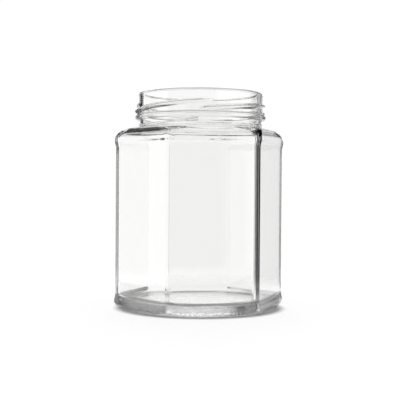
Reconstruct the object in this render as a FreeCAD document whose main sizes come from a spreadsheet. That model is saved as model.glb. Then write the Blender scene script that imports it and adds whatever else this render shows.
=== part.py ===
"""Hexagonal glass jar with a wide twist-off neck, in millimetres.

The jar is blown in one piece of clear glass: a round foot ring that swells into a
six-sided body with recessed label panels, a shoulder that gathers the six sides
into a round neck, and a neck finish with a bead and four slanting thread leads.
The origin is at the middle of the foot, +Z is up, and one flat panel faces -Y.
"""
import FreeCAD, Part
import math
import os
import Sketcher

doc = FreeCAD.newDocument("HexagonalJar")

# ---------------------------------------------------------------- driving sizes
SIZES = {
    # body
    "overall_height": 101.0,      # foot to lip
    "flats_apart": 69.8,          # between opposite label panels
    "corner_radius": 3.6,         # upright corners, outside
    "band_proud": 0.6,            # bumper bands stand this far out from the label panels
    "band_blend": 3.6,            # height over which a band fades into a panel
    "wall": 2.4,                  # glass behind a label panel
    "inner_corner_radius": 6.0,   # upright corners, inside
    # foot and heel
    "foot_inset": 1.6,            # foot ring's outer edge, in from the panels
    "foot_ring_width": 2.7,       # flat ring the jar stands on
    "foot_bevel": 0.8,            # slope from the ring up to the push-up
    "heel_height": 3.6,           # foot to the widest line of the lower band
    "push_up": 1.6,               # rise of the dome under the base
    "floor_height": 3.6,          # foot to the inside floor
    "inner_heel": 4.0,            # curve from the inside floor to the inside walls
    # shoulder
    "shoulder_rise": 6.0,         # widest line of the upper band to the neck root
    "inner_shoulder_drop": 6.0,   # neck root down to where the inside starts to close
    "bore_rise": 0.2,             # neck root up to where the bore runs straight
    # neck finish
    "neck_length": 16.7,          # neck root to lip
    "finish_diameter": 59.1,      # wall that carries the thread leads
    "neck_wall": 2.25,            # finish wall
    "neck_relief": 0.5,           # neck under the bead, in from the finish wall
    "root_radius": 1.0,           # fillet from shoulder to neck
    "bead_proud": 1.3,            # bead beyond the finish wall
    "bead_thickness": 2.7,
    "bead_drop": 11.55,           # lip to the middle of the bead
    "lip_radius": 1.5,
    "lip_inner_radius": 0.6,
    # thread leads
    "lead_count": 4.0,
    "lead_proud": 1.7,            # beyond the finish wall
    "lead_thickness": 2.4,
    "lead_turn": 98.0,           # degrees that one lead covers
    "lead_start": 81.0,           # degrees, where the low end of one lead lies
    "lead_low_drop": 9.4,         # lip to the middle of a lead's low end
    "lead_rise": 3.9,             # low end to high end
    "lead_root": 0.7,             # how deep a lead is rooted in the wall
}

sheet = doc.addObject("Spreadsheet::Sheet", "Sizes")
for row, (alias, size) in enumerate(SIZES.items(), start=1):
    sheet.set(f"A{row}", alias)
    sheet.set(f"B{row}", str(size))
    sheet.setAlias(f"B{row}", alias)

# heights and radii that follow from the sizes, one expression each
DERIVED = {
    "panel_out": "flats_apart / 2",
    "band_out": "flats_apart / 2 + band_proud",
    "band_corner": "corner_radius + band_proud",
    "panel_in": "flats_apart / 2 - wall",
    "foot_out": "flats_apart / 2 - foot_inset",
    "panel_start": "heel_height + band_blend",
    "neck_root": "overall_height - neck_length",
    "upper_band": "overall_height - neck_length - shoulder_rise",
    "panel_end": "overall_height - neck_length - shoulder_rise - band_blend",
    "finish_out": "finish_diameter / 2",
    "neck_out": "finish_diameter / 2 - neck_relief",
    "root_out": "finish_diameter / 2 - neck_relief + root_radius",
    "bore": "finish_diameter / 2 - neck_wall",
    "floor_out": "flats_apart / 2 - wall - inner_heel",
    "wall_start": "floor_height + inner_heel",
    "wall_end": "overall_height - neck_length - inner_shoulder_drop",
    "bore_start": "overall_height - neck_length + bore_rise",
    "bead_middle": "overall_height - bead_drop",
    "lead_low": "overall_height - lead_low_drop",
}
for row, (alias, formula) in enumerate(DERIVED.items(), start=len(SIZES) + 2):
    sheet.set(f"A{row}", alias)
    sheet.set(f"B{row}", f"={formula}")
    sheet.setAlias(f"B{row}", alias)
doc.recompute()

SIDES = 6
SIDE_TURN = 360 / SIDES
FRONT = -90                       # direction that the first side faces, degrees from +X


def sized(formula):
    """Write a formula over the aliases as an expression over the sheet."""
    words = []
    for word in formula.split():
        bare = word.strip("()")
        known = bare in SIZES or bare in DERIVED
        words.append(word.replace(bare, f"Sizes.{bare}") if known else word)
    return " ".join(words)


def plane(body, role):
    """Give one of the body's own origin planes or axes."""
    return next(item for item in body.Origin.OriginFeatures if item.Role == role)


def new_sketch(body, name, role):
    """Start a sketch on one of the body's origin planes."""
    sketch = body.newObject("Sketcher::SketchObject", name)
    sketch.AttachmentSupport = [(plane(body, role), "")]
    sketch.MapMode = "FlatFace"
    return sketch


def bind(sketch, constraint, formula):
    """Add a dimension and tie it to the sheet."""
    index = sketch.addConstraint(constraint)
    sketch.setExpression(f"Constraints[{index}]", sized(formula))


def around(angle):
    """Unit vector in a level plane, at an angle in degrees from +X."""
    return FreeCAD.Vector(math.cos(math.radians(angle)), math.sin(math.radians(angle)), 0)


def hexagon(body, name, height, flat, corner):
    """Six sides at distance flat from the axis, joined by corner arcs, at a height."""
    sketch = new_sketch(body, name, "XY_Plane")
    sketch.setExpression("AttachmentOffset.Base.z", sized(height))
    reach = float(sketch.evalExpression(sized(flat)))
    radius = float(sketch.evalExpression(sized(corner)))
    half_turn = math.radians(SIDE_TURN / 2)
    half_side = (reach - radius) * math.tan(half_turn)
    for side in range(SIDES):
        facing = FRONT + side * SIDE_TURN
        middle = around(facing) * reach
        along = around(facing + 90) * half_side
        sketch.addGeometry(Part.LineSegment(middle - along, middle + along))
        centre = around(facing + SIDE_TURN / 2) * ((reach - radius) / math.cos(half_turn))
        round_corner = Part.Circle(centre, FreeCAD.Vector(0, 0, 1), radius)
        first = math.radians(facing)
        sketch.addGeometry(Part.ArcOfCircle(round_corner, first, first + 2 * half_turn))
    for side in range(SIDES):
        line = 2 * side
        arc = line + 1
        next_line = (line + 2) % (2 * SIDES)
        sketch.addConstraint(Sketcher.Constraint("Tangent", line, 2, arc, 1))
        sketch.addConstraint(Sketcher.Constraint("Tangent", arc, 2, next_line, 1))
        slant = math.radians(FRONT + 90 + side * SIDE_TURN)
        sketch.addConstraint(Sketcher.Constraint("Angle", line, slant))
        bind(sketch, Sketcher.Constraint("Distance", -1, 1, line, reach), flat)
        if side > 0:
            sketch.addConstraint(Sketcher.Constraint("Equal", 1, arc))
    bind(sketch, Sketcher.Constraint("Radius", 1, radius), corner)
    return sketch


def ring(body, name, height, radius):
    """A circle in twelve arcs, a short one at each side of the hexagons it is lofted to."""
    side_half = 4
    sketch = new_sketch(body, name, "XY_Plane")
    sketch.setExpression("AttachmentOffset.Base.z", sized(height))
    size = float(sketch.evalExpression(sized(radius)))
    circle = Part.Circle(FreeCAD.Vector(), FreeCAD.Vector(0, 0, 1), size)
    spans = [2 * side_half, SIDE_TURN - 2 * side_half] * SIDES
    start = FRONT - side_half
    for span in spans:
        sketch.addGeometry(
            Part.ArcOfCircle(circle, math.radians(start), math.radians(start + span)))
        start += span
    last = len(spans) - 1
    for arc in range(last):
        sketch.addConstraint(Sketcher.Constraint("Coincident", arc, 3, -1, 1))
        sketch.addConstraint(Sketcher.Constraint("Angle", arc, math.radians(spans[arc])))
        sketch.addConstraint(Sketcher.Constraint("Coincident", arc, 2, arc + 1, 1))
    sketch.addConstraint(Sketcher.Constraint("Coincident", last, 2, 0, 1))
    sketch.addConstraint(Sketcher.Constraint("Equal", 0, last))
    sketch.addConstraint(Sketcher.Constraint("Horizontal", 0, 1, 0, 2))
    bind(sketch, Sketcher.Constraint("Radius", 0, size), radius)
    return sketch


def outline(body, name, corners, turned=0):
    """A closed outline in an upright plane through the axis.

    Each corner is (distance from the axis, height, bend): bend is None for a straight
    run to the next corner, or the radius of an arc, with a minus if it turns clockwise.
    """
    sketch = new_sketch(body, name, "XZ_Plane")
    sketch.AttachmentOffset.Rotation = FreeCAD.Rotation(FreeCAD.Vector(0, 1, 0), turned)
    points = []
    for across, up, bend in corners:
        place = [float(sketch.evalExpression(sized(formula))) for formula in (across, up)]
        points.append(FreeCAD.Vector(place[0], place[1], 0))
    for index, (across, up, bend) in enumerate(corners):
        start = points[index]
        end = points[(index + 1) % len(points)]
        if bend is None:
            sketch.addGeometry(Part.LineSegment(start, end))
            continue
        radius = float(sketch.evalExpression(sized(bend.lstrip("-"))))
        if bend.startswith("-"):
            start, end = end, start
        chord = end - start
        inward = FreeCAD.Vector(-chord.y, chord.x, 0).normalize()
        centre = (start + end) / 2 + inward * math.sqrt(radius ** 2 - chord.Length ** 2 / 4)
        first = math.atan2(start.y - centre.y, start.x - centre.x)
        last = math.atan2(end.y - centre.y, end.x - centre.x)
        circle = Part.Circle(centre, FreeCAD.Vector(0, 0, 1), radius)
        sketch.addGeometry(Part.ArcOfCircle(circle, first, last))
        bind(sketch, Sketcher.Constraint("Radius", index, radius), bend.lstrip("-"))
    # a clockwise arc is drawn from its far end, so its near end is its second point
    clockwise = [bend is not None and bend.startswith("-") for across, up, bend in corners]
    for index, (across, up, bend) in enumerate(corners):
        near = 2 if clockwise[index] else 1
        before_far = 1 if clockwise[index - 1] else 2
        before = (index - 1) % len(corners)
        sketch.addConstraint(Sketcher.Constraint("Coincident", before, before_far, index, near))
        if across == "0":
            sketch.addConstraint(Sketcher.Constraint("PointOnObject", index, near, -2))
        else:
            wide = Sketcher.Constraint("DistanceX", -1, 1, index, near, points[index].x)
            bind(sketch, wide, across)
        if up == "0":
            sketch.addConstraint(Sketcher.Constraint("PointOnObject", index, near, -1))
        else:
            high = Sketcher.Constraint("DistanceY", -1, 1, index, near, points[index].y)
            bind(sketch, high, up)
    return sketch


def loft(body, kind, name, sections):
    """Skin a smooth form over sections, to add to the glass or to take from it."""
    doc.recompute()
    feature = body.newObject(f"PartDesign::{kind}Loft", name)
    feature.Profile = sections[0]
    feature.Sections = sections[1:]
    feature.Ruled = False
    return feature


def between(low, high, share):
    """Formula for a value a share of the way from one size to another."""
    return f"{low} + ( {high} - {low} ) * {share}"


jar = doc.addObject("PartDesign::Body", "Jar")
jar.Label = "jar"

# ------------------------------------------------------------------ heel and foot
# The round foot ring swells along a quarter ellipse into the lower bumper band, which
# fades into the label panels.
heel_sections = [ring(jar, "FootRing", "0", "foot_out")]
for angle in (18, 36, 54, 72, 90):
    rise = f"heel_height * {1 - math.cos(math.radians(angle)):.6f}"
    share = f"{math.sin(math.radians(angle)):.6f}"
    heel_sections.append(hexagon(
        jar, f"Heel{angle}", rise,
        between("foot_out", "band_out", share), between("foot_out", "band_corner", share)))
FADE = {0.33: 0.75, 0.67: 0.25, 1.0: 0.0}     # share of the blend: share of the band left
for share, left in FADE.items():
    heel_sections.append(hexagon(
        jar, f"LowerBand{round(share * 100)}", f"heel_height + band_blend * {share}",
        f"panel_out + band_proud * {left}", f"corner_radius + band_proud * {left}"))
loft(jar, "Additive", "Heel", heel_sections)

# ------------------------------------------------------------------ label panels
panel_outline = hexagon(jar, "PanelOutline", "panel_start", "panel_out", "corner_radius")
panels = jar.newObject("PartDesign::Pad", "Panels")
panels.Profile = panel_outline
panels.setExpression("Length", sized("panel_end - panel_start"))

# ------------------------------------------------------------------ shoulder
# The upper band, then a dome whose six sides fade into the round neck root.
shoulder_sections = []
for share, left in reversed(FADE.items()):
    shoulder_sections.append(hexagon(
        jar, f"UpperBand{round(share * 100)}", f"upper_band - band_blend * {share}",
        f"panel_out + band_proud * {left}", f"corner_radius + band_proud * {left}"))
for angle in (0, 18, 36, 54, 66, 76, 84):
    climb = f"{math.sin(math.radians(angle)):.6f}"
    share = f"{math.cos(math.radians(angle)) ** 0.8:.6f}"
    shoulder_sections.append(hexagon(
        jar, f"Shoulder{angle}", between("upper_band", "neck_root", climb),
        between("root_out", "band_out", share), between("root_out", "band_corner", share)))
shoulder_sections.append(ring(jar, "NeckRoot", "neck_root", "root_out"))
loft(jar, "Additive", "Shoulder", shoulder_sections)

# ------------------------------------------------------------------ neck finish
# Turned: the root fillet, the neck, the bead that the glass is carried by, the wall
# for the thread leads, and the rounded lip.
bead_low = "bead_middle - bead_thickness / 2"
bead_high = "bead_middle + bead_thickness / 2"
under_bead = "( bead_proud + neck_relief )"
finish_outline = outline(jar, "FinishOutline", [
    ("0", "neck_root", None),
    ("root_out", "neck_root", "-root_radius"),
    ("neck_out", "neck_root + root_radius", None),
    ("neck_out", bead_low,
     f"( {under_bead} ^ 2 + ( bead_thickness / 2 ) ^ 2 ) / ( 2 * {under_bead} )"),
    ("finish_out + bead_proud", "bead_middle",
     "( bead_proud ^ 2 + ( bead_thickness / 2 ) ^ 2 ) / ( 2 * bead_proud )"),
    ("finish_out", bead_high, None),
    ("finish_out", "overall_height - lip_radius", "lip_radius"),
    ("finish_out - lip_radius", "overall_height", None),
    ("0", "overall_height", None),
])
finish = jar.newObject("PartDesign::Revolution", "Finish")
finish.Profile = finish_outline
finish.ReferenceAxis = (finish_outline, ["V_Axis"])
finish.Angle = 360

# ------------------------------------------------------------------ thread leads
# Each lead climbs a quarter turn and a little more. It starts blunt and low, and
# tapers to a long point at its high end, where the next lead has already begun.
LEAD_SHAPE = [
    # share of the turn, share of full thickness, share of full height off the wall
    (0.0, 0.35, 0.10), (0.04, 0.80, 0.65), (0.09, 1.0, 0.95), (0.18, 1.0, 1.0),
    (0.28, 1.0, 1.0), (0.38, 1.0, 1.0), (0.48, 1.0, 1.0), (0.58, 1.0, 1.0),
    (0.68, 0.98, 0.97), (0.78, 0.88, 0.85), (0.86, 0.72, 0.66), (0.93, 0.50, 0.40),
    (1.0, 0.25, 0.08),
]
LEAD_NOSE = 0.65                  # share of a lead's height off the wall that is rounded
lead_sections = []
for share, thickness, proud in LEAD_SHAPE:
    turned = SIZES["lead_start"] + SIZES["lead_turn"] * share
    middle = f"lead_low + lead_rise * {share}"
    half = f"lead_thickness / 2 * {thickness}"
    flank = f"finish_out + lead_proud * {proud * (1 - LEAD_NOSE):.4f}"
    nose = f"( lead_proud * {proud * LEAD_NOSE:.4f} )"
    bend = f"( {nose} ^ 2 + ( {half} ) ^ 2 ) / ( 2 * {nose} )"
    section = outline(jar, f"Lead{round(share * 100)}", [
        ("finish_out - lead_root", f"{middle} - {half}", None),
        (flank, f"{middle} - {half}", bend),
        (flank, f"{middle} + {half}", None),
        ("finish_out - lead_root", f"{middle} + {half}", None),
    ], turned)
    section.setExpression(
        "AttachmentOffset.Rotation.Angle", sized(f"lead_start + lead_turn * {share}"))
    lead_sections.append(section)
lead = loft(jar, "Additive", "Lead", lead_sections)
doc.recompute()
leads = jar.newObject("PartDesign::PolarPattern", "Leads")
leads.Originals = [lead]
leads.Axis = (plane(jar, "Z_Axis"), [""])
leads.Angle = 360
leads.setExpression("Occurrences", sized("lead_count"))
jar.Tip = leads

# ------------------------------------------------------------------ inside
# Floor and inner heel, six inside walls, the inner shoulder, and the bore with its lip.
inner_heel = [ring(jar, "Floor", "floor_height", "floor_out")]
for angle in (18, 36, 54, 72, 90):
    rise = f"floor_height + inner_heel * {1 - math.cos(math.radians(angle)):.6f}"
    share = f"{math.sin(math.radians(angle)):.6f}"
    inner_heel.append(hexagon(
        jar, f"InnerHeel{angle}", rise,
        between("floor_out", "panel_in", share),
        between("floor_out", "inner_corner_radius", share)))
loft(jar, "Subtractive", "InnerHeel", inner_heel)

inside_outline = hexagon(
    jar, "InsideOutline", "wall_start", "panel_in", "inner_corner_radius")
inside = jar.newObject("PartDesign::Pocket", "Inside")
inside.Profile = inside_outline
inside.Reversed = True
inside.setExpression("Length", sized("wall_end - wall_start"))

inner_shoulder = []
for climb in (0.0, 0.12, 0.26, 0.4, 0.55, 0.7, 0.82, 0.92):
    share = f"{(1 - climb ** 3) ** 1.6:.6f}"
    inner_shoulder.append(hexagon(
        jar, f"InnerShoulder{round(climb * 100)}", between("wall_end", "bore_start", climb),
        between("bore", "panel_in", share), between("bore", "inner_corner_radius", share)))
inner_shoulder.append(ring(jar, "BoreStart", "bore_start", "bore"))
loft(jar, "Subtractive", "InnerShoulder", inner_shoulder)

bore_outline = outline(jar, "BoreOutline", [
    ("0", "bore_start", None),
    ("bore", "bore_start", None),
    ("bore", "overall_height - lip_inner_radius", "-lip_inner_radius"),
    ("bore + lip_inner_radius", "overall_height", None),
    ("0", "overall_height", None),
])
bore = jar.newObject("PartDesign::Groove", "Bore")
bore.Profile = bore_outline
bore.ReferenceAxis = (bore_outline, ["V_Axis"])
bore.Angle = 360

# ------------------------------------------------------------------ push-up
# A shallow dome under the base, so that the jar stands on the foot ring alone.
ring_in = "foot_out - foot_ring_width"
dome_out = f"{ring_in} - foot_bevel"
dome_rise = "( push_up - foot_bevel )"
push_up_outline = outline(jar, "PushUpOutline", [
    ("0", "0", None),
    (ring_in, "0", None),
    (dome_out, "foot_bevel",
     f"( ( {dome_out} ) ^ 2 + {dome_rise} ^ 2 ) / ( 2 * {dome_rise} )"),
    ("0", "push_up", None),
])
push_up = jar.newObject("PartDesign::Groove", "PushUp")
push_up.Profile = push_up_outline
push_up.ReferenceAxis = (push_up_outline, ["V_Axis"])
push_up.Angle = 360

# ------------------------------------------------------------------ check and write
doc.recompute()
for item in doc.Objects:
    if "Invalid" in item.State or "Error" in item.State:
        raise RuntimeError(f"{item.Name} failed: {item.State}")

os.makedirs("parts", exist_ok=True)
for body in doc.findObjects("PartDesign::Body"):
    if body.Shape.isNull() or not body.Shape.isValid() or len(body.Shape.Solids) != 1:
        raise RuntimeError(f"{body.Label} isn't one sound solid")
    body.Shape.exportStep(f"parts/{body.Label}.step")
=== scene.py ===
import math

import bpy
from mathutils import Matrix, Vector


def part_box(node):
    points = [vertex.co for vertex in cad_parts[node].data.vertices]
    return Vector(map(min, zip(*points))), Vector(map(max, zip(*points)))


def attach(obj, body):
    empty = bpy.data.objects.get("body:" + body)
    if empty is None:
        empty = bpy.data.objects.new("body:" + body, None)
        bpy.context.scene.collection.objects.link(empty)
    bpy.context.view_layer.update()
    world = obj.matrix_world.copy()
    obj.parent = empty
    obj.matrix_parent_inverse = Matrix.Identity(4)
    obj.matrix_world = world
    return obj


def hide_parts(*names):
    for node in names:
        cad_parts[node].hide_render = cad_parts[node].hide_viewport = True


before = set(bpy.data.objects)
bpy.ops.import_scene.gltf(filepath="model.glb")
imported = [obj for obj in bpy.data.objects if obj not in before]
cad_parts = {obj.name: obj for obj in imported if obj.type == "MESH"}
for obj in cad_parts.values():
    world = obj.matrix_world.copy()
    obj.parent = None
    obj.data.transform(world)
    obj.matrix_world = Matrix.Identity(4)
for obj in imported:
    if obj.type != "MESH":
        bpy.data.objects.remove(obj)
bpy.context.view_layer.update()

# The body of the jar, outside: clear flint glass blown into a mould of two halves.
# A round foot swells into a lower bumper band, six flat label panels stand back a
# little from the bands, and a low shoulder gathers the six sides into the round neck.
MM = 0.001
jar_low, jar_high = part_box("jar")
HAIR = 0.002                        # keeps the mesh just inside the measured jar
HEIGHT = (jar_high.z - jar_low.z) / MM
BAND_OUT = (jar_high.y - jar_low.y) / 2 / MM - HAIR
BAND_PROUD = 0.6
BAND_BLEND = 3.6
PANEL_OUT = BAND_OUT - BAND_PROUD
PANEL_CORNER = 3.6
BAND_CORNER = PANEL_CORNER + BAND_PROUD
FINISH_RISE = 16.7
SHOULDER_RISE = 6.0
NECK_ROOT = HEIGHT - FINISH_RISE
UPPER_BAND = NECK_ROOT - SHOULDER_RISE
ROOT_OUT = 30.05

SIDES = 6
SIDE_TURN = 2 * math.pi / SIDES
FRONT = -math.pi / 2
CORNER_HALF = math.radians(3.4)
CORNER_STEPS = 14
SIDE_STEPS = 36

turns = []                          # angles round the jar, close together at each corner
for side in range(SIDES):
    corner = FRONT + (side - 0.5) * SIDE_TURN
    for step in range(CORNER_STEPS):
        turns.append(corner - CORNER_HALF + 2 * CORNER_HALF * step / CORNER_STEPS)
    for step in range(SIDE_STEPS):
        flat_turn = (SIDE_TURN - 2 * CORNER_HALF) * step / SIDE_STEPS
        turns.append(corner + CORNER_HALF + flat_turn)


def mix(low, high, share):
    return low + (high - low) * share


def reach(turn, flat, corner):
    """Distance from the axis to a hexagon with rounded corners, along one angle."""
    off_flat = (turn - FRONT + SIDE_TURN / 2) % SIDE_TURN - SIDE_TURN / 2
    half_side = (flat - corner) * math.tan(SIDE_TURN / 2)
    if flat * math.tan(abs(off_flat)) <= half_side:
        return flat / math.cos(off_flat)
    centre = (flat - corner) / math.cos(SIDE_TURN / 2)
    off_corner = SIDE_TURN / 2 - abs(off_flat)
    drop = corner ** 2 - (centre * math.sin(off_corner)) ** 2
    return centre * math.cos(off_corner) + math.sqrt(max(drop, 0))


# The mould seam: the halves of the mould meet on two opposite corners, and the hot
# glass is pressed a little way into the joint, so a fine ridge runs up each of them.
SEAM_TURN = FRONT - SIDE_TURN / 2
SEAM_HALF = math.radians(0.45)
SEAM_PROUD = 0.16


def seam(turn):
    """How far the seam stands off the glass along one angle."""
    off = abs((turn - SEAM_TURN + math.pi / 2) % math.pi - math.pi / 2)
    return SEAM_PROUD * max(0, 1 - off / SEAM_HALF)


skin = []                           # rows of the glass surface: heights and radii at each turn


def level(height, flat, corner, ridge=0):
    """A six-sided row at one height, with a share of the seam's ridge on it."""
    radii = [reach(turn, flat, corner) + ridge * seam(turn) for turn in turns]
    skin.append(([height] * len(turns), radii))


def round_level(height, radius):
    """A round row at one height."""
    skin.append(([height] * len(turns), [radius] * len(turns)))


# The underside, pushed up in the middle so that the jar stands on a narrow ring. The
# mould knurls the ring with short ribs, so that the hot jar touches a cold belt only
# at their tops.
FOOT_OUT = PANEL_OUT - 1.6
FOOT_WIDE = 2.7
FOOT_IN = FOOT_OUT - FOOT_WIDE
BEVEL = 0.8
DOME_OUT = FOOT_IN - BEVEL
PUSH_UP = 1.6
KNURL_DEEP = 0.12
KNURL_COLUMNS = 2
DOME_STEPS = 12
BEVEL_STEPS = 5
RING_STEPS = 8

dome_rise = PUSH_UP - BEVEL
dome_radius = (DOME_OUT ** 2 + dome_rise ** 2) / (2 * dome_rise)
for step in range(1, DOME_STEPS + 1):
    across = DOME_OUT * step / DOME_STEPS
    sag = dome_radius - math.sqrt(dome_radius ** 2 - across ** 2)
    round_level(PUSH_UP - sag, across)
for step in range(1, BEVEL_STEPS + 1):
    round_level(BEVEL * (1 - step / BEVEL_STEPS), mix(DOME_OUT, FOOT_IN, step / BEVEL_STEPS))
for step in range(1, RING_STEPS):
    deep = KNURL_DEEP * math.sqrt(math.sin(math.pi * step / RING_STEPS))
    knurl = [deep if column // KNURL_COLUMNS % 2 else 0 for column in range(len(turns))]
    skin.append((knurl, [mix(FOOT_IN, FOOT_OUT, step / RING_STEPS)] * len(turns)))

# The heel, the thickest glass of the jar: it rounds out from the foot ring to the
# lower bumper band, and goes from a circle to the hexagon on the way.
HEEL_RISE = 3.6
HEEL_STEPS = 18
for step in range(HEEL_STEPS + 1):
    angle = math.pi / 2 * step / HEEL_STEPS
    share = math.sin(angle)
    level(HEEL_RISE * (1 - math.cos(angle)),
          mix(FOOT_OUT, BAND_OUT, share), mix(FOOT_OUT, BAND_CORNER, share), share)

# The six label panels: they sink back from the lower band and come out again to the
# upper one, so that jars on a belt knock on the bands and not on the labels.
FADE_STEPS = 10
PANEL_STEPS = 12
panel_low = HEEL_RISE + BAND_BLEND
panel_high = UPPER_BAND - BAND_BLEND


def leave_band(band, panel, flat, corner, ridge=0):
    """Rows from a band's height to a panel's, while the wall sinks back."""
    rows = []
    for step in range(FADE_STEPS + 1):
        left = BAND_PROUD * (1 + math.cos(math.pi * step / FADE_STEPS)) / 2
        rows.append((mix(band, panel, step / FADE_STEPS), flat + left, corner + left, ridge))
    return rows


for row in leave_band(HEEL_RISE, panel_low, PANEL_OUT, PANEL_CORNER, 1)[1:]:
    level(*row)
for step in range(1, PANEL_STEPS):
    level(mix(panel_low, panel_high, step / PANEL_STEPS), PANEL_OUT, PANEL_CORNER, 1)
for row in reversed(leave_band(UPPER_BAND, panel_high, PANEL_OUT, PANEL_CORNER, 1)):
    level(*row)

# The shoulder: a low dome of the same glass that turns in over the upper band and
# fades from the hexagon to a circle at the root of the neck.
SHOULDER_STEPS = 28
SHOULDER_FADE = 0.8                 # below one, the six sides last longer up the dome
for step in range(1, SHOULDER_STEPS + 1):
    angle = math.pi / 2 * step / SHOULDER_STEPS
    share = abs(math.cos(angle)) ** SHOULDER_FADE
    level(mix(UPPER_BAND, NECK_ROOT, math.sin(angle)),
          mix(ROOT_OUT, BAND_OUT, share), mix(ROOT_OUT, BAND_CORNER, share), share)

# The neck finish, formed in the same glass by the neck ring before the body is blown:
# a small fillet, the bead that the hot jar is carried by, a round wall with four
# slanting leads that a twist-off lid turns onto, and a rounded lip.
FINISH_OUT = 29.55
ROOT_RADIUS = 1.0
NECK_OUT = ROOT_OUT - ROOT_RADIUS
BEAD_MIDDLE = HEIGHT - 11.55
BEAD_HALF = 1.35
BEAD_PROUD = 1.3
FINISH_WALL = 2.25
BORE = FINISH_OUT - FINISH_WALL
LIP_RADIUS = 1.5
LIP_INNER = 0.6


def turned_reach(height):
    """Radius of the neck, the bead and the finish wall, without the leads."""
    off = height - BEAD_MIDDLE
    wall = NECK_OUT if off < 0 else FINISH_OUT
    proud = FINISH_OUT + BEAD_PROUD - wall
    bend = (proud ** 2 + BEAD_HALF ** 2) / (2 * proud)
    if abs(off) >= BEAD_HALF:
        return wall
    return wall + proud - bend + math.sqrt(bend ** 2 - off ** 2)


LEADS = 4
LEAD_APART = 2 * math.pi / LEADS
LEAD_START = math.radians(81)
LEAD_TURN = math.radians(98)
LEAD_LOW = HEIGHT - 9.4
LEAD_RISE = 3.9
LEAD_PROUD = 1.7
LEAD_HALF = 1.2
LEAST_HALF = 0.35                   # share of that half thickness left at the ends
BLUNT_END = 0.12                    # share of the turn over which the low end grows
BLUNT_SWELL = 0.7
THIN_END = 0.65                     # share of the turn after which the high end thins away
THIN_SWELL = 1.5


def lead_height(turn, height):
    """How far the leads stand off the finish wall at one spot."""
    share = (turn - LEAD_START) % LEAD_APART / LEAD_TURN
    most = 0
    for past in (share, share + LEAD_APART / LEAD_TURN):
        if past > 1:
            continue
        grown = min(past / BLUNT_END, 1)
        worn = max((past - THIN_END) / (1 - THIN_END), 0)
        full = math.sin(math.pi / 2 * grown) ** BLUNT_SWELL * (1 - worn ** THIN_SWELL)
        off = (height - LEAD_LOW - LEAD_RISE * past) / (LEAD_HALF * mix(LEAST_HALF, 1, full))
        if abs(off) < 1:
            most = max(most, LEAD_PROUD * full * (1 - off ** 2))
    return most


ROOT_STEPS = 8
for step in range(1, ROOT_STEPS + 1):
    angle = math.pi / 2 * step / ROOT_STEPS
    round_level(NECK_ROOT + ROOT_RADIUS * (1 - math.cos(angle)),
                ROOT_OUT - ROOT_RADIUS * math.sin(angle))
NECK_STEPS = 106
neck_low = NECK_ROOT + ROOT_RADIUS
neck_high = HEIGHT - LIP_RADIUS
for step in range(1, NECK_STEPS + 1):
    height = mix(neck_low, neck_high, step / NECK_STEPS)
    wall = turned_reach(height)
    radii = []
    for turn in turns:
        stand = lead_height(turn, height)
        radii.append(max(wall, FINISH_OUT + stand) if stand > 0 else wall)
    skin.append(([height] * len(turns), radii))
LIP_STEPS = 8
for step in range(1, LIP_STEPS + 1):
    angle = math.pi / 2 * step / LIP_STEPS
    round_level(neck_high + LIP_RADIUS * math.sin(angle),
                FINISH_OUT - LIP_RADIUS * (1 - math.cos(angle)))
for step in range(LIP_STEPS + 1):
    angle = math.pi / 2 * step / LIP_STEPS
    round_level(HEIGHT - LIP_INNER * (1 - math.cos(angle)),
                BORE + LIP_INNER * (1 - math.sin(angle)))

# The inside of the jar: a plunger makes the bore, and air blows the rest against the
# mould. The wall follows the panels and the upper band, and rounds into a flat floor.
WALL = 2.4
PANEL_IN = PANEL_OUT - WALL
BAND_IN = PANEL_IN + BAND_PROUD
PANEL_IN_CORNER = 2.5
BAND_IN_CORNER = PANEL_IN_CORNER + BAND_PROUD
BORE_START = NECK_ROOT + 0.2
INNER_DOME = 3                      # how squarely the inside of the shoulder turns in
INNER_FADE = 1.6                    # and how slowly it widens from the bore
FLOOR = 3.6
FLOOR_BEND = 4.0
FLOOR_OUT = PANEL_IN - FLOOR_BEND

BORE_STEPS = 8
for step in range(1, BORE_STEPS + 1):
    round_level(mix(HEIGHT - LIP_INNER, BORE_START, step / BORE_STEPS), BORE)
INNER_STEPS = 24
for step in range(1, INNER_STEPS + 1):
    climb = 1 - step / INNER_STEPS
    share = (1 - climb ** INNER_DOME) ** INNER_FADE
    level(mix(UPPER_BAND, BORE_START, climb),
          mix(BORE, BAND_IN, share), mix(BORE, BAND_IN_CORNER, share))
for row in leave_band(UPPER_BAND, panel_high, PANEL_IN, PANEL_IN_CORNER)[1:]:
    level(*row)
WALL_STEPS = 20
for step in range(1, WALL_STEPS):
    level(mix(panel_high, FLOOR + FLOOR_BEND, step / WALL_STEPS), PANEL_IN, PANEL_IN_CORNER)
BEND_STEPS = 18
for step in range(BEND_STEPS + 1):
    angle = math.pi / 2 * (1 - step / BEND_STEPS)
    share = math.sin(angle)
    level(FLOOR + FLOOR_BEND * (1 - math.cos(angle)),
          mix(FLOOR_OUT, PANEL_IN, share), mix(FLOOR_OUT, PANEL_IN_CORNER, share))
FLOOR_STEPS = 10
for step in range(1, FLOOR_STEPS):
    round_level(FLOOR, FLOOR_OUT * (1 - step / FLOOR_STEPS))

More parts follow.
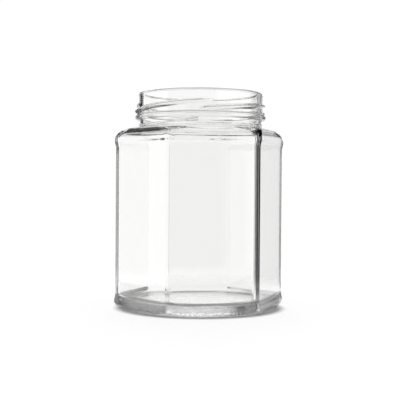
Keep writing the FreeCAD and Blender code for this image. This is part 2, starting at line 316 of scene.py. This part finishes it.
# The rows close into one skin, from the middle of the underside to the middle of the
# floor inside. Everything is one piece of glass.
vertices = [(0, 0, PUSH_UP * MM)]
for heights, radii in skin:
    for turn, height, radius in zip(turns, heights, radii):
        vertices.append((radius * math.cos(turn) * MM, radius * math.sin(turn) * MM, height * MM))
vertices.append((0, 0, FLOOR * MM))
around = len(turns)
last_row = 1 + (len(skin) - 1) * around
faces = []
for column in range(around):
    after = (column + 1) % around
    faces.append((0, 1 + after, 1 + column))
    for row in range(len(skin) - 1):
        low = 1 + row * around
        high = low + around
        faces.append((low + column, low + after, high + after, high + column))
    faces.append((len(vertices) - 1, last_row + column, last_row + after))
mesh = bpy.data.meshes.new("jar_glass")
mesh.from_pydata(vertices, [], faces)
for polygon in mesh.polygons:
    polygon.use_smooth = True
jar = bpy.data.objects.new("jar_glass", mesh)
scene = bpy.context.scene
scene.collection.objects.link(jar)


class Wire:
    """One output of a shader node, so that shader sums read like ordinary ones."""

    def __init__(self, tree, socket):
        self.tree = tree
        self.socket = socket

    def node(self, kind, settings, values, output=0):
        """Any other node in the same tree, from its settings and its inputs."""
        made = self.tree.nodes.new(kind)
        for name, value in settings.items():
            setattr(made, name, value)
        for place, value in values.items():
            if isinstance(value, Wire):
                self.tree.links.new(value.socket, made.inputs[place])
            else:
                made.inputs[place].default_value = value
        return Wire(self.tree, made.outputs[output]) if made.outputs else None

    def sum(self, operation, first, second=0.0, third=0.0):
        """A Math node on up to three values."""
        values = {0: first, 1: second, 2: third}
        return self.node("ShaderNodeMath", {"operation": operation}, values)

    def __add__(self, other):
        return self.sum("ADD", self, other)

    def __radd__(self, other):
        return self.sum("ADD", other, self)

    def __sub__(self, other):
        return self.sum("SUBTRACT", self, other)

    def __rsub__(self, other):
        return self.sum("SUBTRACT", other, self)

    def __mul__(self, other):
        return self.sum("MULTIPLY", self, other)

    def __rmul__(self, other):
        return self.sum("MULTIPLY", other, self)

    def ease(self, low, high):
        """Nought at low, one at high, with soft ends."""
        values = {"Value": self, "From Min": low, "From Max": high}
        return self.node("ShaderNodeMapRange", {"interpolation_type": "SMOOTHSTEP"}, values)

    def blend(self, first, second):
        """The first colour at nought, the second at one."""
        return self.node("ShaderNodeMix", {"data_type": "RGBA"}, {0: self, 6: first, 7: second}, 2)


def wire_from(tree, kind, output):
    """The first wire of a tree, from a node that needs no inputs."""
    return Wire(tree, tree.nodes.new(kind).outputs[output])


# The glass is clear, with the faintest warmth that varies a little through it. Only
# the knurled ring it stands on, and the glass just above, is stippled and scuffed matt.
PALEST = (0.997, 0.996, 0.993, 1)
DEEPEST = (0.991, 0.991, 0.986, 1)
SCUFF_FULL = 1.6 * MM
SCUFF_TOP = 3.4 * MM
STIPPLE_DEEP = 0.3 * MM
glass = bpy.data.materials.new("clear_glass")
glass.use_nodes = True
shader = glass.node_tree.nodes["Principled BSDF"]
shader.inputs["Transmission Weight"].default_value = 1.0
shader.inputs["IOR"].default_value = 1.5
spot = wire_from(glass.node_tree, "ShaderNodeTexCoord", "Object")
height_up = spot.node("ShaderNodeSeparateXYZ", {}, {0: spot}, "Z")
cloud = spot.node("ShaderNodeTexNoise", {}, {"Vector": spot, "Scale": 60.0, "Detail": 2.0})
tone = cloud.blend(PALEST, DEEPEST)
grain = spot.node("ShaderNodeTexNoise", {}, {"Vector": spot, "Scale": 700.0, "Detail": 2.0})
near_foot = height_up.ease(SCUFF_TOP, SCUFF_FULL)
scuff = near_foot * (0.10 + 0.25 * grain)
stipple = {"Strength": 1.0, "Distance": STIPPLE_DEEP, "Height": grain * near_foot}
dimple = spot.node("ShaderNodeBump", {}, stipple)
glass.node_tree.links.new(dimple.socket, shader.inputs["Normal"])
glass.node_tree.links.new(tone.socket, shader.inputs["Base Color"])
glass.node_tree.links.new(scuff.socket, shader.inputs["Roughness"])
mesh.materials.append(glass)
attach(jar, "root")
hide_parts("jar")

# The floor: a pale matt disc with a painted glow, brightest under the jar, which fades
# out into the white sweep round it. A painted shadow dims it where the jar's foot would keep the light
# off it.
DISC_REACH = 0.2
PAINTED_SHADOW_INNER = (0.024, 0.029)        # the painted shadow sets in between these, out from the middle
PAINTED_SHADOW_OUTER = (0.042, 0.036)        # and has gone again between these
# the painted glow dims between these, so the disc is brightest under the jar
PAINTED_DIMMING = (0.024, 0.045)
FADE_OUT = (0.07, 0.19)
bpy.ops.mesh.primitive_circle_add(vertices=128, radius=DISC_REACH, fill_type="NGON")
floor = bpy.context.object
floor.name = "floor"
paint = bpy.data.materials.new("floor_paint")
paint.use_nodes = True
paint.node_tree.nodes.clear()
spot = wire_from(paint.node_tree, "ShaderNodeTexCoord", "Object")
away = spot.node("ShaderNodeVectorMath", {"operation": "LENGTH"}, {0: spot}, "Value")
shade = away.ease(*PAINTED_SHADOW_INNER) * away.ease(*PAINTED_SHADOW_OUTER)
# painted light and shadow: the floor glows though it is no lamp, brightest under the jar, with a
# painted shadow round the foot
painted_glow = 1.05 - 0.25 * away.ease(*PAINTED_DIMMING) - 0.75 * shade
matt = spot.node("ShaderNodeBsdfDiffuse", {}, {"Color": (0.5, 0.5, 0.5, 1)})
painted_glow_shader = spot.node("ShaderNodeEmission", {}, {"Strength": painted_glow})
pale = spot.node("ShaderNodeAddShader", {}, {0: matt, 1: painted_glow_shader})
gone = spot.node("ShaderNodeBsdfTransparent", {}, {})
seen = spot.node("ShaderNodeMixShader", {}, {0: away.ease(*FADE_OUT), 1: pale, 2: gone})
spot.node("ShaderNodeOutputMaterial", {}, {0: seen})
floor.data.materials.append(paint)

# The studio: white cards stand round the jar with dark gaps between them, which is
# what draws the dark edges of clear glass. Bearings are in degrees, with -90 in front.
CARD_EDGE = 3.0                     # how softly a card's edges end
world = bpy.data.worlds.new("studio")
scene.world = world
world.use_nodes = True
world.node_tree.nodes.clear()
way = wire_from(world.node_tree, "ShaderNodeTexCoord", "Generated")
way_x, way_y, way_z = (way.node("ShaderNodeSeparateXYZ", {}, {0: way}, axis) for axis in "XYZ")
bearing = way.sum("ARCTAN2", way_y, way_x) * math.degrees(1)
rise = way.sum("ARCSINE", way_z) * math.degrees(1)


def card(middle, half_wide, low, high):
    """A soft-edged white card, by its bearing, its half width and its low and high edge."""
    off = way.sum("ABSOLUTE", way.sum("WRAP", bearing - middle, 180.0, -180.0))
    across = off.ease(half_wide + CARD_EDGE, half_wide)
    return across * rise.ease(low - CARD_EDGE, low) * rise.ease(high + CARD_EDGE, high)


backdrop = 0.18 * card(82, 22, -90, 50) + 0.65 * card(82, 22, -14, 50) + 0.17 * card(82, 22, -14, 12)
left_sheet = 1.30 * card(161, 33, -90, 12)
right_sheet = 0.75 * card(-34, 34, -90, 12) + 0.17 * card(-45, 16, -90, -4)
rear_strip = 0.45 * card(40, 8, -90, 12)
low_rear_strip = card(117, 11, -90, -12)
low_front_sheet = 0.28 * card(-132, 42, -90, -12)
lamp_overhead = 0.90 * rise.ease(50.0, 60.0)
room = 0.03
light = backdrop + left_sheet + right_sheet + rear_strip
light = light + low_rear_strip + low_front_sheet + lamp_overhead + room
sky = way.node("ShaderNodeBackground", {}, {"Color": (1, 1, 1, 1), "Strength": light})
way.node("ShaderNodeOutputWorld", {}, {0: sky})

# The camera looks a little down at the jar from low in front, turned ten degrees, with
# a long lens. Glass needs many bounces of light before it looks clear.
CAMERA_AWAY = 0.4258
CAMERA_UP = 0.0565
CAMERA_TURN = math.radians(-10)
CAMERA_PITCH = math.radians(89.236)
CAMERA_ROLL = math.radians(-0.4)
camera_data = bpy.data.cameras.new("camera")
camera_data.lens = 81
camera = bpy.data.objects.new("camera", camera_data)
scene.collection.objects.link(camera)
camera.location = (CAMERA_AWAY * math.sin(CAMERA_TURN), -CAMERA_AWAY * math.cos(CAMERA_TURN), CAMERA_UP)
camera.rotation_euler = (CAMERA_PITCH, CAMERA_ROLL, CAMERA_TURN)
scene.camera = camera
scene.view_settings.view_transform = "Standard"
scene.cycles.max_bounces = 24
scene.cycles.transmission_bounces = 24
scene.cycles.glossy_bounces = 12
